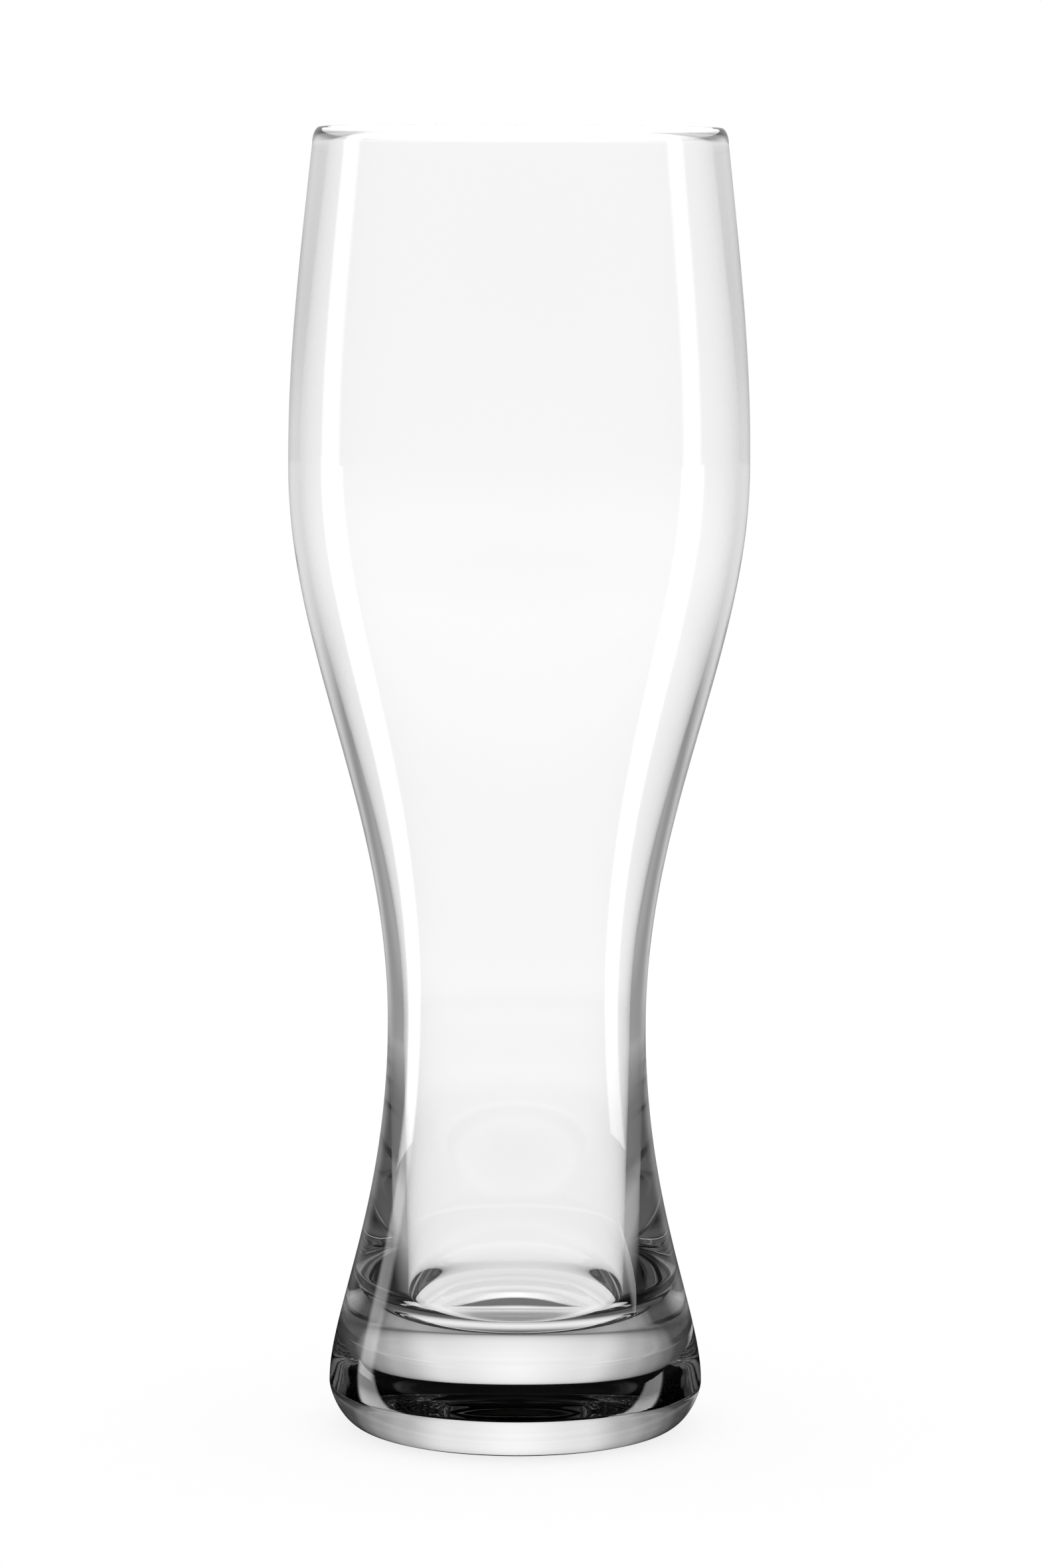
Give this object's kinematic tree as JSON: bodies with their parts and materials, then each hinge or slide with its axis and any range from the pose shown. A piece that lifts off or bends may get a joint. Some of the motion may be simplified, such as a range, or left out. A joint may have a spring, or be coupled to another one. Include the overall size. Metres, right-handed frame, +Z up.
{
  "type": "beer glass",
  "caption": "Tall clear wheat beer glass with a wide belly, slightly narrower mouth, slim waist and heavy flared foot; holds and serves a half-litre pour with room for foam.",
  "frame": {"origin": "on the table, at the centre of the foot's bearing ring", "axes": "+Z up along the glass's axis, from the foot to the mouth; X and Y are level and interchangeable"},
  "size_m": [0.085, 0.085, 0.2415],
  "materials": {
    "clear_glass": "clear, fire-polished, smooth and colourless"
  },
  "bodies": {
    "root": {"rim": "clear_glass", "mouth": "clear_glass", "belly": "clear_glass", "waist": "clear_glass", "base": "clear_glass"}
  },
  "joints": []
}
